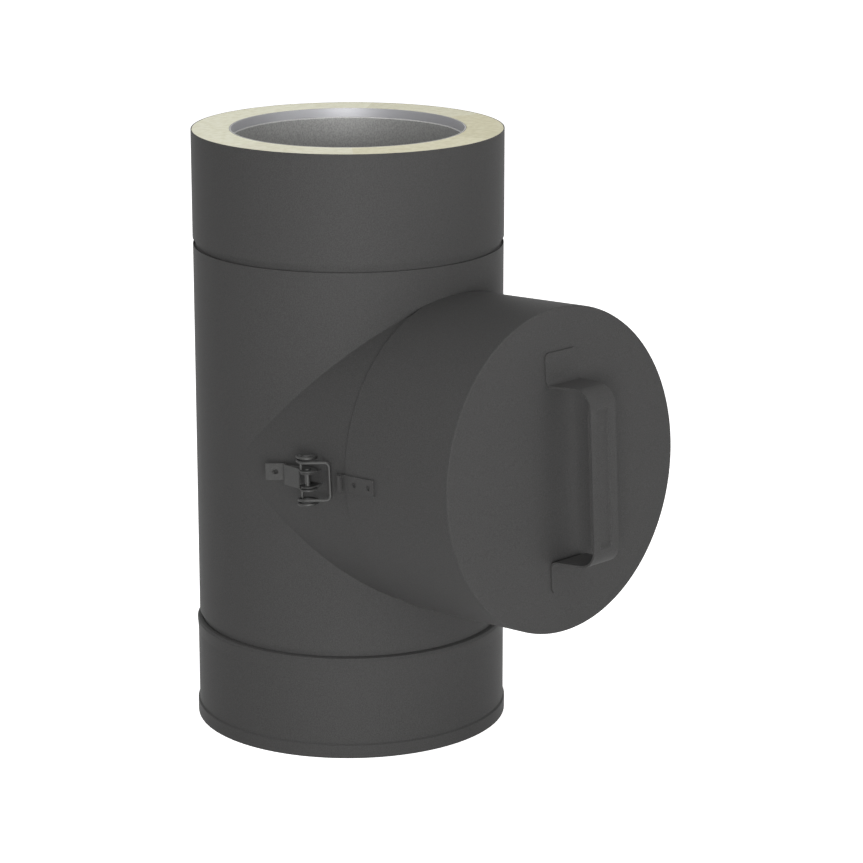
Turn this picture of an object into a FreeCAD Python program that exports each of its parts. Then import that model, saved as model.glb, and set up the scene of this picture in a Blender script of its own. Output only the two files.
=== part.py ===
import FreeCAD, Part
import Sketcher
import math
import os

os.makedirs("parts", exist_ok=True)

doc = FreeCAD.newDocument("InspectionSection")
sheet = doc.addObject("Spreadsheet::Sheet", "Sizes")


class Size:
    """A length and the sheet formula that drives it."""

    def __init__(self, number, formula):
        self.number = number
        self.formula = formula

    def __add__(self, other):
        other = as_size(other)
        return Size(self.number + other.number, f"({self.formula} + {other.formula})")

    def __sub__(self, other):
        other = as_size(other)
        return Size(self.number - other.number, f"({self.formula} - {other.formula})")

    def __mul__(self, other):
        other = as_size(other)
        return Size(self.number * other.number, f"({self.formula} * {other.formula})")

    def __truediv__(self, other):
        other = as_size(other)
        return Size(self.number / other.number, f"({self.formula} / {other.formula})")

    def __neg__(self):
        return Size(-self.number, f"(0 - {self.formula})")


def as_size(value):
    """A plain number may stand beside sizes in a formula."""
    if isinstance(value, Size):
        return value
    return Size(float(value), f"({value})")


def along(length, angle):
    """The part of a slanting length that lies along its base line."""
    number = length.number * math.cos(math.radians(angle.number))
    return Size(number, f"({length.formula} * cos({angle.formula}))")


def across(length, angle):
    """The part of a slanting length that lies square to its base line."""
    number = length.number * math.sin(math.radians(angle.number))
    return Size(number, f"({length.formula} * sin({angle.formula}))")


rows = []


def size(alias, number):
    """Writes one driving dimension into the sheet and returns it."""
    rows.append(alias)
    cell = f"B{len(rows)}"
    sheet.set(f"A{len(rows)}", alias)
    sheet.set(cell, str(number))
    sheet.setAlias(cell, alias)
    return Size(float(number), f"Sizes.{alias}")


# The flue, an upright twin wall tube standing on its lower collar.
casing_radius = size("casing_radius", 100.0)
casing_sheet = size("casing_sheet", 0.6)
fit_gap = size("fit_gap", 0.1)
seat_gap = size("seat_gap", 0.3)
top_collar_swell = size("top_collar_swell", 0.2)
top_collar_tall = size("top_collar_tall", 69.4)
top_groove_tall = size("top_groove_tall", 4.4)
groove_depth = size("groove_depth", 1.7)
spigot_tall = size("spigot_tall", 12.0)
foot_collar_swell = size("foot_collar_swell", 1.0)
foot_collar_tall = size("foot_collar_tall", 67.4)
foot_groove_tall = size("foot_groove_tall", 3.6)
foot_flare = size("foot_flare", 0.6)
foot_shoulder = size("foot_shoulder", 2.5)
foot_lip_flare = size("foot_lip_flare", 1.0)
foot_lip_tall = size("foot_lip_tall", 8.5)
liner_radius = size("liner_radius", 75.0)
liner_sheet = size("liner_sheet", 0.9)
liner_lip_tall = size("liner_lip_tall", 5.8)
liner_lip_step = size("liner_lip_step", 0.6)
liner_spigot_tall = size("liner_spigot_tall", 30.0)

# The branch, an equal tee that rises 3 degrees towards its mouth.
foot_spare = size("foot_spare", 18.5)
crown_spare = size("crown_spare", 26.7)
branch_tilt = size("branch_tilt", 87.0)
branch_reach = size("branch_reach", 139.7)

# The lid, a sleeve and disc that slip over the branch, with an insulated plug inside.
lid_radius = size("lid_radius", 102.05)
lid_seam = size("lid_seam", 101.6)
lid_face = size("lid_face", 188.6)
lid_sheet = size("lid_sheet", 0.6)
lid_hem = size("lid_hem", 10.0)
disc_sheet = size("disc_sheet", 1.2)
disc_rim = size("disc_rim", 0.8)
disc_flange = size("disc_flange", 10.0)
gasket_tall = size("gasket_tall", 3.0)
plug_radius = size("plug_radius", 72.9)
plug_depth = size("plug_depth", 33.0)
plug_sheet = size("plug_sheet", 0.6)

# The two over centre latches and the catch plates they clip to.
# Heights here are measured out from the branch casing.
base_start = size("base_start", 58.0)
base_end = size("base_end", 79.2)
base_wide = size("base_wide", 9.8)
base_sheet = size("base_sheet", 1.0)
base_ear_radius = size("base_ear_radius", 4.4)
pin_high = size("pin_high", 10.0)
pin_at = size("pin_at", 76.4)
pin_radius = size("pin_radius", 1.75)
pin_head_radius = size("pin_head_radius", 2.3)
pin_head_tall = size("pin_head_tall", 0.8)
turn_gap = size("turn_gap", 0.08)
lever_start = size("lever_start", 54.6)
lever_high = size("lever_high", 9.4)
lever_wide = size("lever_wide", 12.7)
lever_sheet = size("lever_sheet", 1.0)
lever_ear_radius = size("lever_ear_radius", 5.8)
web_end = size("web_end", 70.5)
web_rise = size("web_rise", 2.3)
tab_wide = size("tab_wide", 10.6)
tab_long = size("tab_long", 14.9)
tab_high = size("tab_high", 11.4)
dip_back = size("dip_back", 5.0)
dip_high = size("dip_high", 4.0)
tab_hole = size("tab_hole", 1.6)
wire_radius = size("wire_radius", 1.0)
coil_radius = size("coil_radius", 5.8)
coil_pitch = size("coil_pitch", 2.8)
coil_turns = size("coil_turns", 1.25)
bail_half = size("bail_half", 11.8)
bail_reach = size("bail_reach", 14.6)
bail_bend = size("bail_bend", 3.0)
bail_lean = size("bail_lean", 38.8)
cross_wire_back = size("cross_wire_back", 3.6)
cross_bend = size("cross_bend", 1.2)
catch_start = size("catch_start", 97.6)
catch_end = size("catch_end", 127.0)
catch_wide = size("catch_wide", 10.3)
catch_sheet = size("catch_sheet", 1.2)
hook_gap = size("hook_gap", 2.3)
hook_lip = size("hook_lip", 2.1)
catch_hole = size("catch_hole", 1.6)
catch_hole_near = size("catch_hole_near", 110.4)
catch_hole_far = size("catch_hole_far", 122.6)

# The strap handle on the disc, pressed from one strip.
handle_sheet = size("handle_sheet", 1.2)
grip_out = size("grip_out", 34.1)
grip_half = size("grip_half", 43.9)
grip_wide = size("grip_wide", 22.5)
grip_edge = size("grip_edge", 2.8)
grip_run_out = size("grip_run_out", 3.0)
grip_bend = size("grip_bend", 12.0)
groove_wide = size("groove_wide", 11.3)
groove_floor = size("groove_floor", 9.2)
groove_deep = size("groove_deep", 1.8)
foot_wide = size("foot_wide", 28.6)
foot_half = size("foot_half", 75.5)
foot_bend = size("foot_bend", 3.5)
foot_corner = size("foot_corner", 3.5)

doc.recompute()

NODES = []

foot_groove_low = foot_collar_tall
foot_groove_high = foot_collar_tall + foot_groove_tall
branch_height = foot_groove_high + foot_spare + casing_radius
top_groove_low = branch_height + casing_radius + crown_spare
top_groove_high = top_groove_low + top_groove_tall
height = top_groove_high + top_collar_tall
top_collar_radius = casing_radius + top_collar_swell
foot_collar_radius = casing_radius + foot_collar_swell


def node(piece, label):
    """Names a finished sub-part and keeps it for the export."""
    piece.Label = label
    NODES.append(piece)
    return piece


def put_on_branch(piece):
    """Gives a piece the branch's own frame, with its third axis along the branch."""
    tilt = FreeCAD.Rotation(FreeCAD.Vector(1, 0, 0), branch_tilt.number)
    piece.Placement = FreeCAD.Placement(FreeCAD.Vector(0, 0, branch_height.number), tilt)
    piece.setExpression("Placement.Base.z", branch_height.formula)
    piece.setExpression("Placement.Rotation.Angle", branch_tilt.formula)


def new_body(name, on_branch):
    body = doc.addObject("PartDesign::Body", name)
    if on_branch:
        put_on_branch(body)
    return body


def new_sketch(body, name, role, shift):
    """A sketch on one of the body's origin planes, moved by three sizes."""
    sketch = body.newObject("Sketcher::SketchObject", name)
    planes = [plane for plane in body.Origin.OriginFeatures if plane.Role == role]
    sketch.AttachmentSupport = (planes[0], [""])
    sketch.MapMode = "FlatFace"
    moves = [as_size(move) for move in shift]
    sketch.AttachmentOffset = FreeCAD.Placement(
        FreeCAD.Vector(*[move.number for move in moves]), FreeCAD.Rotation())
    for axis, move in zip("xyz", moves):
        sketch.setExpression(f"AttachmentOffset.Base.{axis}", move.formula)
    return sketch


def hold(sketch, index, end, across, up):
    """Holds one end of an edge at its two sizes, or on the sketch's own axes."""
    for kind, axis, value in (("DistanceX", -2, across), ("DistanceY", -1, up)):
        if not isinstance(value, Size) and value == 0:
            sketch.addConstraint(Sketcher.Constraint("PointOnObject", index, end, axis))
            continue
        value = as_size(value)
        number = sketch.addConstraint(
            Sketcher.Constraint(kind, -1, 1, index, end, value.number))
        sketch.setExpression(f"Constraints[{number}]", value.formula)


def arc_between(start, end, radius, turn):
    """The short arc from start to end, turning left (1) or right (-1)."""
    chord = end - start
    middle = (start + end) * 0.5
    side = FreeCAD.Vector(-chord.y, chord.x, 0).normalize() * turn
    rise = max(radius ** 2 - (chord.Length / 2) ** 2, 0.0) ** 0.5
    centre = middle + side * rise
    through = centre - side * radius
    return Part.Arc(start, through, end)


def outline(body, name, role, corners, shift=(0, 0, 0), closed=True):
    """Draws an outline whose corners are pairs of sizes.

    A corner may also give the radius and turn of an arc that leads to the next corner.
    """
    sketch = new_sketch(body, name, role, shift)
    spots = [FreeCAD.Vector(as_size(c[0]).number, as_size(c[1]).number, 0) for c in corners]
    count = len(corners) if closed else len(corners) - 1
    ends = []
    for index in range(count):
        corner = corners[index]
        start = spots[index]
        end = spots[(index + 1) % len(corners)]
        if len(corner) == 2:
            sketch.addGeometry(Part.LineSegment(start, end), False)
            ends.append((1, 2))
            continue
        radius, turn = corner[2], corner[3]
        sketch.addGeometry(arc_between(start, end, radius.number, turn), False)
        ends.append((1, 2) if turn > 0 else (2, 1))
        number = sketch.addConstraint(Sketcher.Constraint("Radius", index, radius.number))
        sketch.setExpression(f"Constraints[{number}]", radius.formula)
    for index in range(count):
        hold(sketch, index, ends[index][0], corners[index][0], corners[index][1])
        if closed or index + 1 < count:
            following = (index + 1) % count
            sketch.addConstraint(Sketcher.Constraint(
                "Coincident", index, ends[index][1], following, ends[following][0]))
    if not closed:
        hold(sketch, count - 1, ends[-1][1], corners[-1][0], corners[-1][1])
    return sketch


def circle(body, name, role, across, up, radius, shift=(0, 0, 0)):
    """Draws one circle at two sizes."""
    sketch = new_sketch(body, name, role, shift)
    spot = FreeCAD.Vector(as_size(across).number, as_size(up).number, 0)
    sketch.addGeometry(Part.Circle(spot, FreeCAD.Vector(0, 0, 1), radius.number), False)
    number = sketch.addConstraint(Sketcher.Constraint("Radius", 0, radius.number))
    sketch.setExpression(f"Constraints[{number}]", radius.formula)
    hold(sketch, 0, 3, across, up)
    return sketch


def wire_section(body, name, role, across, up, shift=(0, 0, 0)):
    """Draws the section of the bail's wire, eight sided so that its coils stay light."""
    wide = wire_radius * 0.9239
    narrow = wire_radius * 0.3827
    return outline(body, name, role, [
        (across + wide, up + narrow),
        (across + narrow, up + wide),
        (across - narrow, up + wide),
        (across - wide, up + narrow),
        (across - wide, up - narrow),
        (across - narrow, up - wide),
        (across + narrow, up - wide),
        (across + wide, up - narrow),
    ], shift)


def spun(name, corners, on_branch):
    """A sheet or ring turned about the axis of the flue or of the branch."""
    body = new_body(name, on_branch)
    sketch = outline(body, name + "_profile", "XZ_Plane", corners)
    turned = body.newObject("PartDesign::Revolution", name + "_turned")
    turned.Profile = sketch
    turned.ReferenceAxis = (sketch, ["V_Axis"])
    turned.Angle = 360.0
    sketch.Visibility = False
    return body


def padded(body, name, sketch, depth, both_ways=True, reverse=False):
    """Gives a sketch its thickness."""
    pad = body.newObject("PartDesign::Pad", name)
    pad.Profile = sketch
    pad.Midplane = both_ways
    pad.Reversed = reverse
    pad.Length = depth.number
    pad.setExpression("Length", depth.formula)
    return pad


def pocketed(body, name, sketch, depth):
    """Cuts a sketch out to both sides of its plane."""
    cut = body.newObject("PartDesign::Pocket", name)
    cut.Profile = sketch
    cut.Midplane = True
    cut.Length = depth.number
    cut.setExpression("Length", depth.formula)
    return cut


def trimmed(piece, label, radius, along_branch):
    """Cuts a round passage along the branch, or trims a branch piece to the flue."""
    tool = doc.addObject("Part::Cylinder", label + "_passage")
    tool.Radius = radius.number
    tool.setExpression("Radius", radius.formula)
    tool.Height = height.number
    tool.setExpression("Height", height.formula)
    if along_branch:
        put_on_branch(tool)
    cut = doc.addObject("Part::Cut", label)
    cut.Base = piece
    cut.Tool = tool
    return node(cut, label)


groove_radius = casing_radius - groove_depth
casing_bore = casing_radius - casing_sheet
spigot_radius = casing_bore - seat_gap
bead = spigot_radius - groove_radius
liner_bore = liner_radius - liner_sheet

# Flue liner, one stainless tube whose top end is sized and polished as a lip.
# Its foot is drawn in as a spigot that enters the lip of the section below.
liner_lip = liner_bore + liner_lip_step
liner_bell = height - liner_lip_tall
liner_spigot = liner_lip - seat_gap * 2
liner_neck = liner_spigot_tall + liner_sheet
liner_tube = spun("flue_liner_tube", [
    (liner_spigot - liner_sheet, 0),
    (liner_spigot, 0),
    (liner_spigot, liner_spigot_tall),
    (liner_radius, liner_neck),
    (liner_radius, liner_bell - liner_lip_step),
    (liner_lip + liner_sheet, liner_bell),
    (liner_lip + liner_sheet, height),
    (liner_lip, height),
    (liner_lip, liner_bell),
    (liner_bore, liner_bell - liner_lip_step),
    (liner_bore, liner_neck),
    (liner_spigot - liner_sheet, liner_spigot_tall),
], False)
trimmed(liner_tube, "flue_liner", liner_bore, True)

# Branch liner, saddle cut where it is welded to the flue liner.
branch_tube = spun("branch_liner_tube", [
    (liner_bore, 0),
    (liner_radius, 0),
    (liner_radius, branch_reach),
    (liner_bore, branch_reach),
], True)
trimmed(branch_tube, "branch_liner", liner_radius + seat_gap, False)

# Flue insulation, packed between liner and casing and waisted at both rolled grooves.
wool_bore = liner_radius + seat_gap
waist = groove_radius - casing_sheet - fit_gap
wool = spun("flue_wool", [
    (wool_bore, 0),
    (foot_collar_radius - casing_sheet - fit_gap, 0),
    (foot_collar_radius - casing_sheet - fit_gap, foot_groove_low - foot_shoulder),
    (foot_collar_radius - foot_shoulder, foot_groove_low - casing_sheet - fit_gap),
    (waist, foot_groove_low - casing_sheet - fit_gap),
    (waist, foot_groove_high + spigot_tall + fit_gap),
    (casing_bore - fit_gap, foot_groove_high + spigot_tall + fit_gap),
    (casing_bore - fit_gap, top_groove_low - spigot_tall - fit_gap),
    (waist, top_groove_low - spigot_tall - fit_gap),
    (waist, top_groove_high + casing_sheet + fit_gap),
    (top_collar_radius - casing_sheet - fit_gap, top_groove_high + casing_sheet + fit_gap),
    (top_collar_radius - casing_sheet - fit_gap, height),
    (wool_bore + liner_lip_step, height),
    (wool_bore + liner_lip_step, liner_bell - liner_lip_step),
    (wool_bore, liner_bell - liner_lip_step),
], False)
trimmed(wool, "flue_insulation", wool_bore, True)

# Branch insulation, packed round the branch liner up to the mouth.
branch_wool = spun("branch_wool", [
    (wool_bore, 0),
    (casing_bore - fit_gap, 0),
    (casing_bore - fit_gap, branch_reach),
    (wool_bore, branch_reach),
], True)
trimmed(branch_wool, "branch_insulation", casing_bore, False)

# Outer casing of the flue, a rolled sheet between the two grooves.
shell = spun("casing_tube", [
    (casing_bore, foot_groove_high),
    (casing_radius, foot_groove_high),
    (casing_radius, top_groove_low),
    (casing_bore, top_groove_low),
], False)
trimmed(shell, "casing_shell", casing_bore, True)

# Outer casing of the branch, the same sheet, saddle cut to the flue.
stub = spun("branch_casing_tube", [
    (casing_bore, 0),
    (casing_radius, 0),
    (casing_radius, branch_reach),
    (casing_bore, branch_reach),
], True)
trimmed(stub, "branch_casing", casing_radius + fit_gap, False)

# Top collar, drawn in below its band to form the rolled groove and a spigot in the casing.
top_collar = spun("top_collar_body", [
    (top_collar_radius, height),
    (top_collar_radius, top_groove_high),
    (groove_radius, top_groove_high),
    (groove_radius, top_groove_low),
    (spigot_radius, top_groove_low - bead),
    (spigot_radius, top_groove_low - spigot_tall),
    (spigot_radius - casing_sheet, top_groove_low - spigot_tall),
    (spigot_radius - casing_sheet, top_groove_low - bead - casing_sheet / 4),
    (groove_radius - casing_sheet, top_groove_low - casing_sheet / 4),
    (groove_radius - casing_sheet, top_groove_high + casing_sheet),
    (top_collar_radius - casing_sheet, top_groove_high + casing_sheet),
    (top_collar_radius - casing_sheet, height),
], False)
node(top_collar, "top_collar")

# Bottom collar, with a rounded shoulder under the groove and a flared lip at its foot.
shoulder_radius = foot_collar_radius + foot_flare
shoulder_in = foot_shoulder - casing_sheet
bottom_collar = spun("bottom_collar_body", [
    (foot_collar_radius + foot_lip_flare, 0),
    (foot_collar_radius + foot_lip_flare, foot_lip_tall),
    (foot_collar_radius, foot_lip_tall + foot_lip_flare),
    (foot_collar_radius, foot_groove_low - foot_shoulder * 4),
    (shoulder_radius, foot_groove_low - foot_shoulder),
    (shoulder_radius - foot_shoulder * 0.29, foot_groove_low - foot_shoulder * 0.29),
    (shoulder_radius - foot_shoulder, foot_groove_low),
    (groove_radius, foot_groove_low),
    (groove_radius, foot_groove_high),
    (spigot_radius, foot_groove_high + bead),
    (spigot_radius, foot_groove_high + spigot_tall),
    (spigot_radius - casing_sheet, foot_groove_high + spigot_tall),
    (spigot_radius - casing_sheet, foot_groove_high + bead + casing_sheet / 4),
    (groove_radius - casing_sheet, foot_groove_high + casing_sheet / 4),
    (groove_radius - casing_sheet, foot_groove_low - casing_sheet),
    (shoulder_radius - foot_shoulder, foot_groove_low - casing_sheet),
    (shoulder_radius - casing_sheet - shoulder_in * 0.29,
     foot_groove_low - casing_sheet - shoulder_in * 0.29),
    (shoulder_radius - casing_sheet, foot_groove_low - foot_shoulder),
    (foot_collar_radius - casing_sheet, foot_groove_low - foot_shoulder * 4),
    (foot_collar_radius - casing_sheet, foot_lip_tall + foot_lip_flare),
    (foot_collar_radius + foot_lip_flare - casing_sheet, foot_lip_tall),
    (foot_collar_radius + foot_lip_flare - casing_sheet, 0),
], False)
node(bottom_collar, "bottom_collar")

# Lid sleeve, with a hem folded in at its mouth that slides over the branch casing.
# Its mouth is notched at the crown, where the sloping branch meets the flue sooner.
lid_bore = lid_radius - lid_sheet
disc_inner = lid_face - disc_sheet
lid_sleeve = spun("lid_sleeve_body", [
    (lid_radius, lid_seam),
    (lid_radius, disc_inner),
    (lid_bore, disc_inner),
    (lid_bore, lid_seam + lid_hem),
    (casing_radius + seat_gap, lid_seam + lid_hem),
    (casing_radius + seat_gap, lid_seam),
], True)
trimmed(lid_sleeve, "lid_sleeve", casing_radius + seat_gap, False)

# Lid disc, a shallow pressing with a rounded rim and a flange inside the sleeve.
flange_radius = lid_bore - fit_gap
lid_disc = spun("lid_disc_body", [
    (0, lid_face),
    (0, disc_inner),
    (flange_radius - lid_sheet, disc_inner),
    (flange_radius - lid_sheet, disc_inner - disc_flange),
    (flange_radius, disc_inner - disc_flange),
    (flange_radius, disc_inner),
    (lid_radius, disc_inner),
    (lid_radius, lid_face - disc_rim),
    (lid_radius - disc_rim * 0.29, lid_face - disc_rim * 0.29),
    (lid_radius - disc_rim, lid_face),
], True)
node(lid_disc, "lid_disc")

# Plug, a stainless pan that reaches into the branch liner and closes it.
gasket_face = branch_reach + seat_gap
plug_flange = gasket_face + gasket_tall
plug_bottom = plug_flange - plug_depth
lid_plug = spun("lid_plug_body", [
    (0, plug_bottom),
    (plug_radius, plug_bottom),
    (plug_radius, plug_flange),
    (flange_radius, plug_flange),
    (flange_radius, plug_flange + plug_sheet),
    (plug_radius - plug_sheet, plug_flange + plug_sheet),
    (plug_radius - plug_sheet, plug_bottom + plug_sheet),
    (0, plug_bottom + plug_sheet),
], True)
node(lid_plug, "lid_plug")

# Gasket, a flat fibre ring under the plug's flange.
lid_gasket = spun("lid_gasket_body", [
    (liner_bore, gasket_face),
    (casing_bore, gasket_face),
    (casing_bore, plug_flange),
    (liner_bore, plug_flange),
], True)
node(lid_gasket, "lid_gasket")

# Lid insulation, filling the plug and the lid.
lid_wool = spun("lid_insulation_body", [
    (0, plug_bottom + plug_sheet),
    (plug_radius - plug_sheet - fit_gap, plug_bottom + plug_sheet),
    (plug_radius - plug_sheet - fit_gap, plug_flange + plug_sheet),
    (flange_radius, plug_flange + plug_sheet),
    (flange_radius, disc_inner - disc_flange - fit_gap),
    (flange_radius - lid_sheet - fit_gap, disc_inner - disc_flange - fit_gap),
    (flange_radius - lid_sheet - fit_gap, disc_inner),
    (0, disc_inner),
], True)
node(lid_wool, "lid_insulation")


def mirrored_pair(right, name):
    """Keeps the right hand piece and adds its mirror image on the left."""
    node(right, name + "_right")
    left = doc.addObject("Part::Mirroring", name + "_left_mirror")
    left.Source = right
    left.Normal = (1, 0, 0)
    node(left, name + "_left")


def lofted(body, name, start, end):
    """Joins two sections by straight lines."""
    loft = body.newObject("PartDesign::AdditiveLoft", name)
    loft.Profile = start
    loft.Sections = [end]
    loft.Ruled = True


def whole(half, name):
    """Joins a half piece and its mirror image across the branch's level middle plane."""
    mirror = doc.addObject("Part::Mirroring", name + "_other_half")
    mirror.Source = half
    mirror.Normal = (0, 1, 0)
    both = doc.addObject("Part::Fuse", name + "_whole")
    both.Base = half
    both.Tool = mirror
    both.Refine = True
    put_on_branch(both)
    return both


# Latch bracket, a small channel spot welded on the branch casing, whose ears hold the pin.
pin_out = casing_radius + pin_high
seat = casing_radius + fit_gap
base = new_body("latch_bracket_body", True)
base_ears = outline(base, "base_ears", "XZ_Plane", [
    (seat, base_end - base_ear_radius * 2.5),
    (pin_out, pin_at - base_ear_radius, base_ear_radius, 1),
    (pin_out + base_ear_radius, pin_at, base_ear_radius, 1),
    (pin_out, pin_at + base_ear_radius),
    (seat, base_end),
])
padded(base, "base_ears_pad", base_ears, base_wide)
base_gap = outline(base, "base_gap", "XZ_Plane", [
    (seat + base_sheet, base_start),
    (pin_out + base_ear_radius * 2, base_start),
    (pin_out + base_ear_radius * 2, pin_at + base_ear_radius * 2),
    (seat + base_sheet, pin_at + base_ear_radius * 2),
])
pocketed(base, "base_gap_cut", base_gap, base_wide - base_sheet * 2)
base_plate = outline(base, "base_plate", "XZ_Plane", [
    (seat, base_start),
    (seat + base_sheet, base_start),
    (seat + base_sheet, base_end - base_ear_radius),
    (seat, base_end - base_ear_radius),
])
padded(base, "base_plate_pad", base_plate, base_wide)
base_hole = circle(base, "base_pin_hole", "XZ_Plane", pin_out, pin_at, pin_radius + turn_gap)
pocketed(base, "base_pin_cut", base_hole, base_wide * 2)
mirrored_pair(base, "latch_bracket")

# Latch strap, the lever that turns on the pin, with a thumb tab bent out at its end.
wire_back = along(cross_wire_back, bail_lean)
wire_up = across(cross_wire_back, bail_lean)
wire_at = pin_at - wire_back
wire_out = pin_out + wire_up
lever_out = casing_radius + lever_high
lever_in = lever_out - lever_sheet
tab_at = lever_start - tab_long
dip_at = lever_start - dip_back
lever = new_body("latch_strap_body", True)
lever_side = outline(lever, "lever_side", "XZ_Plane", [
    (lever_in, lever_start),
    (lever_out, lever_start),
    (lever_out + web_rise, web_end),
    (pin_out + lever_ear_radius, pin_at, lever_ear_radius, 1),
    (pin_out, pin_at + lever_ear_radius, lever_ear_radius, 1),
    (pin_out - lever_ear_radius, pin_at),
])
padded(lever, "lever_pad", lever_side, lever_wide)
lever_gap = outline(lever, "lever_gap", "XZ_Plane", [
    (seat, lever_start - lever_sheet),
    (lever_in, lever_start - lever_sheet),
    (lever_in, lever_start),
    (lever_in + web_rise, web_end),
    (pin_out + lever_ear_radius * 2, web_end),
    (pin_out + lever_ear_radius * 2, pin_at + lever_ear_radius * 2),
    (seat, pin_at + lever_ear_radius * 2),
])
pocketed(lever, "lever_gap_cut", lever_gap, lever_wide - lever_sheet * 2)
tab_side = outline(lever, "tab_side", "XZ_Plane", [
    (lever_out, lever_start),
    (casing_radius + dip_high, dip_at),
    (casing_radius + tab_high, tab_at),
    (casing_radius + tab_high - lever_sheet * 0.8, tab_at - lever_sheet * 0.6),
    (casing_radius + dip_high - lever_sheet * 1.34, dip_at + lever_sheet * 0.12),
    (lever_out - lever_sheet * 0.68, lever_start + lever_sheet * 0.73),
])
padded(lever, "tab_pad", tab_side, tab_wide)
tab_eye = circle(lever, "tab_eye", "YZ_Plane", 0, (tab_at + dip_at) / 2, tab_hole)
pocketed(lever, "tab_eye_cut", tab_eye, pin_out * 3)
lever_hole = circle(lever, "lever_pin_hole", "XZ_Plane", pin_out, pin_at, pin_radius + turn_gap)
pocketed(lever, "lever_pin_cut", lever_hole, lever_wide * 2)
wire_hole = circle(lever, "lever_wire_hole", "XZ_Plane", wire_out, wire_at,
                   wire_radius + turn_gap)
pocketed(lever, "lever_wire_cut", wire_hole, lever_wide * 2)
mirrored_pair(lever, "latch_strap")

# Latch pin, riveted over on the outside of the lever's ears.
pin_half = lever_wide / 2 + fit_gap
pin = new_body("latch_pin_body", True)
pin_side = outline(pin, "pin_side", "XY_Plane", [
    (0, -(pin_half + pin_head_tall)),
    (pin_head_radius, -(pin_half + pin_head_tall)),
    (pin_head_radius, -pin_half),
    (pin_radius, -pin_half),
    (pin_radius, pin_half),
    (pin_head_radius, pin_half),
    (pin_head_radius, pin_half + pin_head_tall),
    (0, pin_half + pin_head_tall),
], (pin_out, 0, pin_at))
pin_turned = pin.newObject("PartDesign::Revolution", "pin_turned")
pin_turned.Profile = pin_side
pin_turned.ReferenceAxis = (pin_side, ["V_Axis"])
pin_turned.Angle = 360.0
mirrored_pair(pin, "latch_pin")

# Bail, one spring wire: each end hooks into an ear of the strap and winds a coil to the loop.
# It is drawn round the coil's own axis and leans in towards the lid.
coil_rise = coil_pitch * coil_turns
link_at = bail_half + coil_rise - wire_radius * 0.2
wire_end = lever_wide / 2 - lever_sheet - fit_gap
bail = new_body("bail_half_body", False)
bail.Placement = FreeCAD.Placement(
    FreeCAD.Vector(pin_out.number, 0, pin_at.number),
    FreeCAD.Rotation(FreeCAD.Vector(0, -1, 0), bail_lean.number))
bail.setExpression("Placement.Base.x", pin_out.formula)
bail.setExpression("Placement.Base.z", pin_at.formula)
bail.setExpression("Placement.Rotation.Angle", bail_lean.formula)
coil_start = wire_section(bail, "coil_start", "XY_Plane", coil_radius, bail_half)
coil = bail.newObject("PartDesign::AdditiveHelix", "coil")
coil.Profile = coil_start
coil.ReferenceAxis = (coil_start, ["V_Axis"])
coil.Mode = "pitch-height-angle"
coil.Pitch = coil_pitch.number
coil.setExpression("Pitch", coil_pitch.formula)
coil.Height = coil_rise.number
coil.setExpression("Height", coil_rise.formula)
coil.LeftHanded = False
coil.Reversed = False
arm_start = wire_section(bail, "arm_start", "XY_Plane", coil_radius, bail_half)
arm_path = outline(bail, "arm_path", "YZ_Plane", [
    (bail_half, 0),
    (bail_half, bail_reach - bail_bend, bail_bend, 1),
    (bail_half - bail_bend, bail_reach),
    (0, bail_reach),
], (0, 0, coil_radius), False)
arm = bail.newObject("PartDesign::AdditivePipe", "arm")
arm.Profile = arm_start
arm.Spine = (arm_path, [f"Edge{number + 1}" for number in range(3)])
cross_end = wire_section(bail, "cross_end", "XZ_Plane", as_size(0), -cross_wire_back,
                         (0, 0, -wire_end))
cross_path = outline(bail, "cross_path", "YZ_Plane", [
    (wire_end, -cross_wire_back),
    (link_at - cross_bend, -cross_wire_back, cross_bend, -1),
    (link_at, -(cross_wire_back + cross_bend)),
    (link_at, -(coil_radius + wire_radius * 0.7)),
], (0, 0, 0), False)
cross = bail.newObject("PartDesign::AdditivePipe", "cross_wire")
cross.Profile = cross_end
cross.Spine = (cross_path, [f"Edge{number + 1}" for number in range(3)])
mirrored_pair(whole(bail, "bail"), "bail")

# Catch plate, spot welded on the lid sleeve, with a folded hook that takes the bail.
catch_in = lid_radius + fit_gap
catch_out = catch_in + catch_sheet
hook_radius = hook_gap / 2
fold_radius = hook_radius + catch_sheet
fold_at = catch_start + fold_radius
catch = new_body("catch_body", True)
catch_side = outline(catch, "catch_side", "XZ_Plane", [
    (catch_in, catch_end),
    (catch_in, fold_at, fold_radius, 1),
    (catch_in + fold_radius, catch_start, fold_radius, 1),
    (catch_out + hook_gap + catch_sheet, fold_at),
    (catch_out + hook_gap + catch_sheet, fold_at + hook_lip),
    (catch_out + hook_gap, fold_at + hook_lip),
    (catch_out + hook_gap, fold_at, hook_radius, -1),
    (catch_out + hook_radius, fold_at - hook_radius, hook_radius, -1),
    (catch_out, fold_at),
    (catch_out, catch_end),
])
padded(catch, "catch_pad", catch_side, catch_wide)
for name, hole_at in (("near", catch_hole_near), ("far", catch_hole_far)):
    hole = circle(catch, f"catch_hole_{name}", "YZ_Plane", 0, hole_at, catch_hole)
    pocketed(catch, f"catch_cut_{name}", hole, catch_out * 2 + catch_sheet)
mirrored_pair(catch, "catch")

# Handle, a strip whose grip has a pressed groove and folded edges, on two flat feet.
grip_side = grip_wide / 2
rim_in = groove_wide / 2
floor_in = groove_floor / 2
wall_shift = handle_sheet * 0.58
leg_out = grip_half + grip_bend
bend_at = lid_face + grip_out - grip_bend
foot_top = lid_face + handle_sheet + foot_bend


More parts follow.
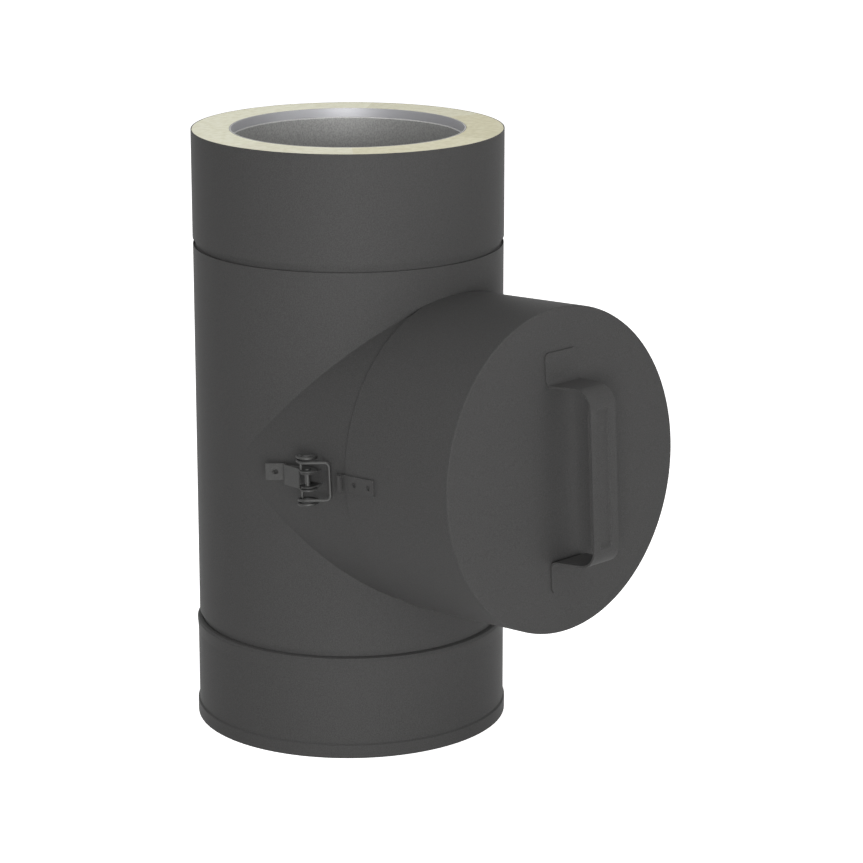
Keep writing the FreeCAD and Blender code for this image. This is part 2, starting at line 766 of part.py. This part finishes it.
def strip_section(side, back_side, tip_side, rim, floor, edge, groove):
    """The strip's section as pairs across the strip and out from the bend's centre line."""
    inner = grip_bend - handle_sheet
    right = [
        (side, grip_bend - edge),
        (side, grip_bend),
        (rim, grip_bend),
        (floor, grip_bend - groove),
        (floor + wall_shift, inner - groove),
        (rim + wall_shift, inner),
        (back_side, inner),
        (tip_side, grip_bend - edge),
    ]
    front = right[:4]
    back = right[4:]
    left_front = [(-across, out) for across, out in reversed(front)]
    left_back = [(-across, out) for across, out in reversed(back)]
    return front + left_front + left_back + back


edge_back = grip_side - handle_sheet
pressed = (grip_side, edge_back, edge_back, rim_in, floor_in, grip_edge, groove_deep)
flat_side = foot_wide / 2
plain_tip = grip_side - handle_sheet / 2
plain = (grip_side, edge_back, plain_tip, rim_in, floor_in, handle_sheet, as_size(0))
flat_back = flat_side - handle_sheet
flat_tip = flat_side - handle_sheet / 2
flat = (flat_side, flat_back, flat_tip, rim_in, floor_in, handle_sheet, as_size(0))
handle = new_body("handle_half_body", False)
grip_section = outline(handle, "grip_section", "XZ_Plane", strip_section(*pressed),
                       (0, bend_at, grip_run_out - grip_half))
padded(handle, "grip", grip_section, grip_half - grip_run_out, False, False)
run_out_start = outline(handle, "run_out_start", "XZ_Plane", strip_section(*pressed),
                        (0, bend_at, grip_run_out - grip_half))
run_out_end = outline(handle, "run_out_end", "XZ_Plane", strip_section(*plain),
                      (0, bend_at, -grip_half))
lofted(handle, "run_out", run_out_start, run_out_end)
bend_section = outline(handle, "bend_section", "XZ_Plane", strip_section(*plain),
                       (0, bend_at, -grip_half))
bend = handle.newObject("PartDesign::Revolution", "grip_end_bend")
bend.Profile = bend_section
bend.ReferenceAxis = (bend_section, ["H_Axis"])
bend.Angle = 90.0
bend.Reversed = True
leg_top = outline(handle, "leg_top", "XY_Plane", strip_section(*plain),
                  (0, grip_half, bend_at))
leg_low = outline(handle, "leg_low", "XY_Plane", strip_section(*flat),
                  (0, grip_half, foot_top))
lofted(handle, "leg", leg_top, leg_low)
foot_side = outline(handle, "foot_side", "YZ_Plane", [
    (leg_out - handle_sheet, foot_top),
    (leg_out, foot_top, foot_bend, 1),
    (leg_out + foot_bend, foot_top - foot_bend),
    (leg_out + foot_bend, lid_face, foot_bend + handle_sheet, -1),
])
padded(handle, "foot_bend_pad", foot_side, foot_wide)
foot_plate = outline(handle, "foot_plate", "XY_Plane", [
    (-flat_side, leg_out + foot_bend),
    (flat_side, leg_out + foot_bend),
    (flat_side, foot_half - foot_corner, foot_corner, 1),
    (flat_side - foot_corner, foot_half),
    (foot_corner - flat_side, foot_half, foot_corner, 1),
    (-flat_side, foot_half - foot_corner),
], (0, 0, lid_face))
padded(handle, "foot_plate_pad", foot_plate, handle_sheet, False, False)
node(whole(handle, "handle"), "handle")

doc.recompute()

for thing in doc.Objects:
    if "Invalid" in thing.State or "Error" in thing.State:
        raise RuntimeError(f"{thing.Name} failed: {thing.getStatusString()}")
for piece in NODES:
    if piece.Shape.isNull() or not piece.Shape.isValid() or len(piece.Shape.Solids) != 1:
        raise RuntimeError(f"{piece.Label} is not one sound solid")
for piece in NODES:
    piece.Shape.exportStep(f"parts/{piece.Label}.step")
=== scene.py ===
import bpy
import math
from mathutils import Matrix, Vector


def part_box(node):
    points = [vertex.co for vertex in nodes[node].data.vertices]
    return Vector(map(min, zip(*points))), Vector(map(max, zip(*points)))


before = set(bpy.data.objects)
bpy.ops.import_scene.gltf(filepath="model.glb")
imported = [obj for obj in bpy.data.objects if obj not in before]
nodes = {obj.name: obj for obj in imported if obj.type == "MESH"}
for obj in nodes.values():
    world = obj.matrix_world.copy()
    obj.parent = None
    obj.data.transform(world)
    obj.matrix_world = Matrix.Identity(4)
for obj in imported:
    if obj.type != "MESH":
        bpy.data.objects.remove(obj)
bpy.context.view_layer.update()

# Flue liner.
# A welded stainless tube that carries the flue gas. Its wall is left as rolled, and its top end
# is sized in a die, which leaves a smoother and brighter lip.
LIP_LENGTH = 0.0058
WALL_DARK = (0.32, 0.32, 0.314)
WALL_LIGHT = (0.43, 0.43, 0.42)
WALL_GRAIN = 1100.0
LIP_COLOUR = (0.52, 0.52, 0.5408)
LIP_GRAIN = 400.0
UPRIGHT_LIMIT = 0.5


def add_node(owner, kind, **values):
    """Adds one shader node to a material or the world and sets its plain values."""
    made = owner.node_tree.nodes.new(kind)
    for name, value in values.items():
        if name in made.inputs:
            made.inputs[name].default_value = value
        else:
            setattr(made, name, value)
    return made


def new_finish(name, colour, roughness, metallic=0.0):
    """Starts a finish from its colour, gloss and whether it is bare metal."""
    material = bpy.data.materials.new(name)
    material.use_nodes = True
    skin = material.node_tree.nodes["Principled BSDF"]
    skin.inputs["Base Color"].default_value = (*colour, 1.0)
    skin.inputs["Roughness"].default_value = roughness
    skin.inputs["Metallic"].default_value = metallic
    return material, skin


def grain(material, stretch, scale, detail=4.0):
    """Noise in the piece's own metres, drawn out along one direction for rolling marks."""
    place = add_node(material, "ShaderNodeTexCoord")
    stretched = add_node(material, "ShaderNodeMapping", Scale=stretch)
    noise = add_node(material, "ShaderNodeTexNoise", Scale=scale, Detail=detail)
    links = material.node_tree.links
    links.new(place.outputs["Object"], stretched.inputs["Vector"])
    links.new(stretched.outputs["Vector"], noise.inputs["Vector"])
    return noise


def spread(material, noise, dark, light, start=0.35, end=0.65):
    """Maps a noise to the range between two colours."""
    ramp = add_node(material, "ShaderNodeValToRGB")
    low, high = ramp.color_ramp.elements
    low.position = start
    low.color = (*dark, 1.0)
    high.position = end
    high.color = (*light, 1.0)
    material.node_tree.links.new(noise.outputs["Fac"], ramp.inputs["Fac"])
    return ramp.outputs["Color"]


def relief(material, skin, noise, depth, strength):
    """Turns a noise into a shallow relief of the surface."""
    bump = add_node(material, "ShaderNodeBump", Strength=strength, Distance=depth)
    links = material.node_tree.links
    links.new(noise.outputs["Fac"], bump.inputs["Height"])
    links.new(bump.outputs["Normal"], skin.inputs["Normal"])


def give(node, material):
    """Gives a piece one finish all over."""
    for slot in nodes[node].material_slots:
        slot.material = material


liner_wall, liner_skin = new_finish("rolled_stainless", WALL_DARK, 0.62, 0.85)
rolling = grain(liner_wall, (1.0, 1.0, 0.8), WALL_GRAIN)
liner_greys = spread(liner_wall, rolling, WALL_DARK, WALL_LIGHT)
liner_wall.node_tree.links.new(liner_greys, liner_skin.inputs["Base Color"])
relief(liner_wall, liner_skin, rolling, 0.00003, 0.4)
give("flue_liner", liner_wall)

lip_finish, lip_skin = new_finish("polished_lip", LIP_COLOUR, 0.52, 1.0)
lip_marks = grain(lip_finish, (1.0, 1.0, 0.1), LIP_GRAIN)
relief(lip_finish, lip_skin, lip_marks, 0.00001, 0.3)
liner = nodes["flue_liner"]
liner.data.materials.append(lip_finish)
lip_slot = len(liner.data.materials) - 1
lip_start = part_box("flue_liner")[1][2] - LIP_LENGTH
for face in liner.data.polygons:
    if face.center.z > lip_start and abs(face.normal.z) < UPRIGHT_LIMIT:
        face.material_index = lip_slot

# Branch liner.
# The same stainless tube, saddle cut and welded to the flue liner. The plug of the lid
# closes its outer end.
give("branch_liner", liner_wall)

# Insulation of the flue, the branch and the lid.
# Dense mineral wool packed in sectors between liner and casing. It is cream with short darker
# fibres, and each sector around the flue has its own tone.
WOOL_DARK = (0.88, 0.86, 0.68)
WOOL_LIGHT = (1.00, 0.99, 0.84)
WOOL_GRAIN = 260.0
WOOL_SECTORS = (
    (0.00, (0.96, 0.95, 0.90)),
    (0.13, (0.90, 0.87, 0.76)),
    (0.30, (0.83, 0.80, 0.68)),
    (0.46, (0.88, 0.87, 0.80)),
    (0.60, (1.00, 1.00, 0.95)),
)
# A Mix node keeps its colour sockets at these places.
FIRST_COLOUR = 6
SECOND_COLOUR = 7
MIXED_COLOUR = 2

wool, wool_skin = new_finish("mineral_wool", WOOL_DARK, 0.95)
wool_skin.inputs["Sheen Weight"].default_value = 0.15
fibres = grain(wool, (1.0, 1.0, 0.5), WOOL_GRAIN, 9.0)
creams = spread(wool, fibres, WOOL_DARK, WOOL_LIGHT, 0.30, 0.60)
around = add_node(wool, "ShaderNodeTexCoord")
turn = add_node(wool, "ShaderNodeTexGradient", gradient_type="RADIAL")
sectors = add_node(wool, "ShaderNodeValToRGB")
tones = sectors.color_ramp
tones.interpolation = "CONSTANT"
tones.elements.remove(tones.elements[1])
tones.elements[0].color = (*WOOL_SECTORS[0][1], 1.0)
for start, tone in WOOL_SECTORS[1:]:
    tones.elements.new(start).color = (*tone, 1.0)
packed = add_node(wool, "ShaderNodeMix", data_type="RGBA", blend_type="MULTIPLY", Factor=1.0)
wool_links = wool.node_tree.links
wool_links.new(around.outputs["Object"], turn.inputs["Vector"])
wool_links.new(turn.outputs["Fac"], sectors.inputs["Fac"])
wool_links.new(creams, packed.inputs[FIRST_COLOUR])
wool_links.new(sectors.outputs["Color"], packed.inputs[SECOND_COLOUR])
wool_links.new(packed.outputs[MIXED_COLOUR], wool_skin.inputs["Base Color"])
relief(wool, wool_skin, fibres, 0.0006, 0.8)
for node in ("flue_insulation", "branch_insulation", "lid_insulation"):
    give(node, wool)

# Casing shell, collars and branch casing.
# Thin steel sheet, rolled and seamed, then powder coated in a fine textured dark grey. The
# texture of the powder is what keeps the sheet from shining.
COAT_DARK = (0.049, 0.0485, 0.048)
COAT_LIGHT = (0.060, 0.0594, 0.0588)
COAT_GRAIN = 1500.0
EVEN = (1.0, 1.0, 1.0)

coat, coat_skin = new_finish("powder_coat", COAT_DARK, 0.55)
coat_skin.inputs["Specular IOR Level"].default_value = 0.05
speckle = grain(coat, EVEN, COAT_GRAIN, 3.0)
coat_greys = spread(coat, speckle, COAT_DARK, COAT_LIGHT, 0.38, 0.62)
coat.node_tree.links.new(coat_greys, coat_skin.inputs["Base Color"])
relief(coat, coat_skin, speckle, 0.00012, 0.5)
for node in ("casing_shell", "branch_casing", "top_collar", "bottom_collar"):
    give(node, coat)

# Lid sleeve and disc.
# The same coated sheet: a sleeve with a folded hem slides over the branch, and a pressed disc
# with a flange is let into its end.
give("lid_sleeve", coat)
give("lid_disc", coat)

# Lid plug.
# A drawn stainless pan behind the disc. It reaches into the branch liner and keeps the hot gas
# off the lid.
give("lid_plug", liner_wall)

# Lid gasket.
# A flat ring of pressed ceramic fibre. It lies under the plug's flange and is squeezed by
# the latches.
FIBRE_DARK = (0.50, 0.48, 0.42)
FIBRE_LIGHT = (0.66, 0.64, 0.58)
FIBRE_GRAIN = 500.0

fibre, fibre_skin = new_finish("pressed_fibre", FIBRE_DARK, 0.9)
fibre_marks = grain(fibre, EVEN, FIBRE_GRAIN)
fibre_creams = spread(fibre, fibre_marks, FIBRE_DARK, FIBRE_LIGHT)
fibre.node_tree.links.new(fibre_creams, fibre_skin.inputs["Base Color"])
relief(fibre, fibre_skin, fibre_marks, 0.0002, 0.5)
give("lid_gasket", fibre)

# Latch brackets.
# Small channels of coated steel, one on each side. They are spot welded to the branch, and their
# ears carry the pins.
SIDES = ("left", "right")
for side in SIDES:
    give(f"latch_bracket_{side}", coat)

# Latch levers.
# Pressed from one strip each and coated like the sheets, but smoother. A thumb tab with an eye
# is bent out at the end.
LEVER_DARK = (0.050, 0.050, 0.049)
LEVER_LIGHT = (0.062, 0.062, 0.061)
LEVER_GRAIN = 1400.0

lever_coat, lever_skin = new_finish("lever_coat", LEVER_DARK, 0.46)
lever_skin.inputs["Specular IOR Level"].default_value = 0.1
lever_marks = grain(lever_coat, EVEN, LEVER_GRAIN)
lever_greys = spread(lever_coat, lever_marks, LEVER_DARK, LEVER_LIGHT)
lever_coat.node_tree.links.new(lever_greys, lever_skin.inputs["Base Color"])
relief(lever_coat, lever_skin, lever_marks, 0.0001, 0.4)
for side in SIDES:
    give(f"latch_strap_{side}", lever_coat)

# Latch pins.
# Turned from dark steel wire. Each runs through bracket and lever and is riveted over outside
# the lever's ears.
WIRE_COLOUR = (0.045, 0.045, 0.044)
WIRE_GRAIN = 1200.0

wire, wire_skin = new_finish("drawn_wire", WIRE_COLOUR, 0.52, 0.7)
wire_marks = grain(wire, EVEN, WIRE_GRAIN)
relief(wire, wire_skin, wire_marks, 0.00003, 0.4)
for side in SIDES:
    give(f"latch_pin_{side}", wire)

# Bails.
# One length of dark drawn spring wire each, wound into two coils and a loop, with its ends
# hooked in the lever's ears.
for side in SIDES:
    give(f"bail_{side}", wire)

# Catches.
# Coated plates riveted to the lid's sleeve. The end of each is folded into a hook that takes
# the bail's loop.
for side in SIDES:
    give(f"catch_{side}", coat)

# Handle.
# One strip pressed with a groove, its long edges folded back. Its two flat feet lie on the disc,
# and it is coated with it.
give("handle", coat)

# Camera.
# Stands to the left of the branch, a little above the top rim, as in the photograph. Its place
# comes from the outlines of the flue and the lid.
CAMERA_FROM_AXIS = 2.03917
CAMERA_HEIGHT = 0.73352
CAMERA_AROUND = math.radians(44.005)
CAMERA_TURN = math.radians(1.502)
CAMERA_DOWN = math.radians(14.959)
SENSOR = 36.0
FOCUS_PIXELS = 3224.79
PICTURE_PIXELS = 863.0

camera_data = bpy.data.cameras.new("photo_camera")
camera_data.sensor_width = SENSOR
camera_data.lens = FOCUS_PIXELS / PICTURE_PIXELS * SENSOR
camera = bpy.data.objects.new("photo_camera", camera_data)
camera.location = (-CAMERA_FROM_AXIS * math.sin(CAMERA_AROUND),
                   -CAMERA_FROM_AXIS * math.cos(CAMERA_AROUND), CAMERA_HEIGHT)
camera.rotation_euler = (math.pi / 2 - CAMERA_DOWN, 0.0, -(CAMERA_AROUND + CAMERA_TURN))
bpy.context.collection.objects.link(camera)
scene = bpy.context.scene
scene.camera = camera
scene.view_settings.view_transform = "Standard"

# Studio.
# A pale floor and a white surround, which the camera and bright metal see as white. Four soft
# lamps and a weak sky light the object.
WHITE = (1.0, 1.0, 1.0, 1.0)
SKY_STRENGTH = 0.19
FLOOR_HALF = 6.0
FLOOR_DROP = 0.0002
MIDDLE = (0.0, -0.05, 0.2)


def shown_rays(owner):
    """One for rays from the camera, by reflection or through glass, and zero for the others."""
    ray = add_node(owner, "ShaderNodeLightPath")
    reflected = add_node(owner, "ShaderNodeMath", operation="MAXIMUM")
    shown = add_node(owner, "ShaderNodeMath", operation="MAXIMUM")
    links = owner.node_tree.links
    links.new(ray.outputs["Is Glossy Ray"], reflected.inputs[0])
    links.new(ray.outputs["Is Transmission Ray"], reflected.inputs[1])
    links.new(ray.outputs["Is Camera Ray"], shown.inputs[0])
    links.new(reflected.outputs[0], shown.inputs[1])
    return shown.outputs[0]


world = bpy.data.worlds.new("white_studio")
world.use_nodes = True
scene.world = world
sky = world.node_tree.nodes["Background"]
sky.inputs["Color"].default_value = WHITE
sky.inputs["Strength"].default_value = SKY_STRENGTH
backdrop = add_node(world, "ShaderNodeBackground", Color=WHITE, Strength=1.0)
choice = add_node(world, "ShaderNodeMixShader")
world_links = world.node_tree.links
world_links.new(shown_rays(world), choice.inputs[0])
world_links.new(sky.outputs[0], choice.inputs[1])
world_links.new(backdrop.outputs[0], choice.inputs[2])
world_links.new(choice.outputs[0], world.node_tree.nodes["World Output"].inputs["Surface"])

paper, paper_skin = new_finish("pale_floor", (0.85, 0.85, 0.85), 0.9)
glow = add_node(paper, "ShaderNodeEmission")
both = add_node(paper, "ShaderNodeAddShader")
paper_links = paper.node_tree.links
paper_links.new(shown_rays(paper), glow.inputs["Strength"])
paper_links.new(paper_skin.outputs[0], both.inputs[0])
paper_links.new(glow.outputs[0], both.inputs[1])
paper_links.new(both.outputs[0], paper.node_tree.nodes["Material Output"].inputs[0])

floor_mesh = bpy.data.meshes.new("studio_floor")
floor_mesh.from_pydata([(-FLOOR_HALF, -FLOOR_HALF, 0), (FLOOR_HALF, -FLOOR_HALF, 0),
                        (FLOOR_HALF, FLOOR_HALF, 0), (-FLOOR_HALF, FLOOR_HALF, 0)],
                       [], [(0, 1, 2, 3)])
floor_mesh.materials.append(paper)
floor = bpy.data.objects.new("studio_floor", floor_mesh)
floor.location = (0.0, 0.0, -FLOOR_DROP)
bpy.context.collection.objects.link(floor)


def soft_lamp(name, spot, across, power):
    """A soft rectangular lamp at a spot, turned to the middle of the object."""
    lamp_data = bpy.data.lights.new(name, "AREA")
    lamp_data.shape = "RECTANGLE"
    lamp_data.size, lamp_data.size_y = across
    lamp_data.energy = power
    lamp = bpy.data.objects.new(name, lamp_data)
    lamp.location = spot
    lamp.rotation_euler = (Vector(MIDDLE) - Vector(spot)).to_track_quat("-Z", "Y").to_euler()
    bpy.context.collection.objects.link(lamp)


soft_lamp("overhead_lamp", (-0.3, -0.3, 2.2), (1.8, 1.8), 20.0)
soft_lamp("camera_lamp", (-1.75, -1.95, 0.36), (1.0, 1.0), 60.0)
soft_lamp("right_lamp", (0.6, -2.5, 0.55), (1.2, 1.1), 11.0)
soft_lamp("left_lamp", (-2.5, -0.2, 0.9), (1.0, 1.4), 2.0)
